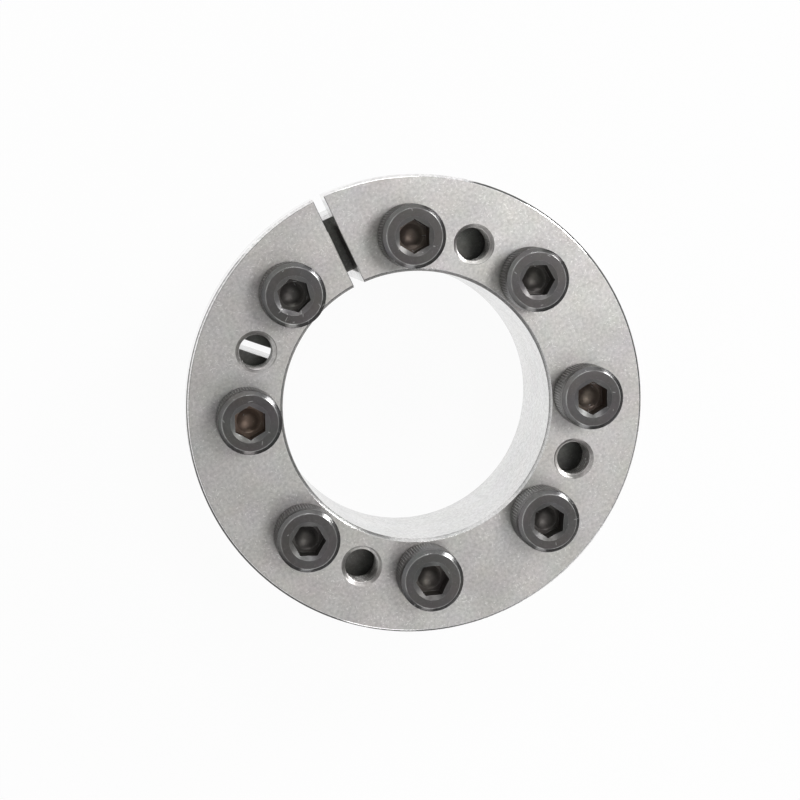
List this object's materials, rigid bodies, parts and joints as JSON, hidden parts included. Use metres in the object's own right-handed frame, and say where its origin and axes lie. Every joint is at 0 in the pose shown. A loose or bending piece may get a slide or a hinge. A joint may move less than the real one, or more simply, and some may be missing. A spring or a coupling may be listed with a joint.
{
  "type": "keyless locking assembly",
  "caption": "Flanged tapered locking device: slit inner ring, slit outer ring and hex socket screws that draw them together to clamp a hub on a plain shaft.",
  "frame": {"origin": "middle of the rear face, on the axis, where the device stands on its rings' rear ends", "axes": "+Z along the bore axis from the rear face to the screw heads; the inner ring's slit is at +Y; screws at 22.5 degrees from +X and every 45 degrees; jack holes at 45, 135, 225 and 315 degrees"},
  "size_m": [0.094, 0.094, 0.034],
  "materials": {
    "inner_ring_steel": "ground and lightly oiled machined steel",
    "outer_ring_steel": "turned and ground steel",
    "screw_steel": "black oxide steel, worn a little bright at the edges"
  },
  "bodies": {
    "inner_ring": {"inner_ring": "inner_ring_steel"},
    "outer_ring": {"outer_ring": "outer_ring_steel"},
    "clamp_screw_1": {"clamp_screw_1": "screw_steel"},
    "clamp_screw_2": {"clamp_screw_2": "screw_steel"},
    "clamp_screw_3": {"clamp_screw_3": "screw_steel"},
    "clamp_screw_4": {"clamp_screw_4": "screw_steel"},
    "clamp_screw_5": {"clamp_screw_5": "screw_steel"},
    "clamp_screw_6": {"clamp_screw_6": "screw_steel"},
    "clamp_screw_7": {"clamp_screw_7": "screw_steel"},
    "clamp_screw_8": {"clamp_screw_8": "screw_steel"}
  },
  "joints": [
    {"name": "taper_draw", "type": "slide", "parent": "inner_ring", "child": "outer_ring", "axis": [0, 0, 1], "range_m": [0, 0.001]},
    {"name": "screw_1_turn", "type": "hinge", "parent": "inner_ring", "child": "clamp_screw_1", "pos_m": [0.03211, 0.0133, 0.026], "axis": [0, 0, 1], "range_deg": [-289, 0]},
    {"name": "screw_2_turn", "type": "hinge", "parent": "inner_ring", "child": "clamp_screw_2", "pos_m": [0.0133, 0.03211, 0.026], "axis": [0, 0, 1], "range_deg": [-289, 0]},
    {"name": "screw_3_turn", "type": "hinge", "parent": "inner_ring", "child": "clamp_screw_3", "pos_m": [-0.0133, 0.03211, 0.026], "axis": [0, 0, 1], "range_deg": [-289, 0]},
    {"name": "screw_4_turn", "type": "hinge", "parent": "inner_ring", "child": "clamp_screw_4", "pos_m": [-0.03211, 0.0133, 0.026], "axis": [0, 0, 1], "range_deg": [-289, 0]},
    {"name": "screw_5_turn", "type": "hinge", "parent": "inner_ring", "child": "clamp_screw_5", "pos_m": [-0.03211, -0.0133, 0.026], "axis": [0, 0, 1], "range_deg": [-289, 0]},
    {"name": "screw_6_turn", "type": "hinge", "parent": "inner_ring", "child": "clamp_screw_6", "pos_m": [-0.0133, -0.03211, 0.026], "axis": [0, 0, 1], "range_deg": [-289, 0]},
    {"name": "screw_7_turn", "type": "hinge", "parent": "inner_ring", "child": "clamp_screw_7", "pos_m": [0.0133, -0.03211, 0.026], "axis": [0, 0, 1], "range_deg": [-289, 0]},
    {"name": "screw_8_turn", "type": "hinge", "parent": "inner_ring", "child": "clamp_screw_8", "pos_m": [0.03211, -0.0133, 0.026], "axis": [0, 0, 1], "range_deg": [-289, 0]}
  ],
  "couplings": [
    {"joint": "screw_1_turn", "follows": "taper_draw", "rad_per_m": -5026.5},
    {"joint": "screw_2_turn", "follows": "taper_draw", "rad_per_m": -5026.5},
    {"joint": "screw_3_turn", "follows": "taper_draw", "rad_per_m": -5026.5},
    {"joint": "screw_4_turn", "follows": "taper_draw", "rad_per_m": -5026.5},
    {"joint": "screw_5_turn", "follows": "taper_draw", "rad_per_m": -5026.5},
    {"joint": "screw_6_turn", "follows": "taper_draw", "rad_per_m": -5026.5},
    {"joint": "screw_7_turn", "follows": "taper_draw", "rad_per_m": -5026.5},
    {"joint": "screw_8_turn", "follows": "taper_draw", "rad_per_m": -5026.5}
  ]
}
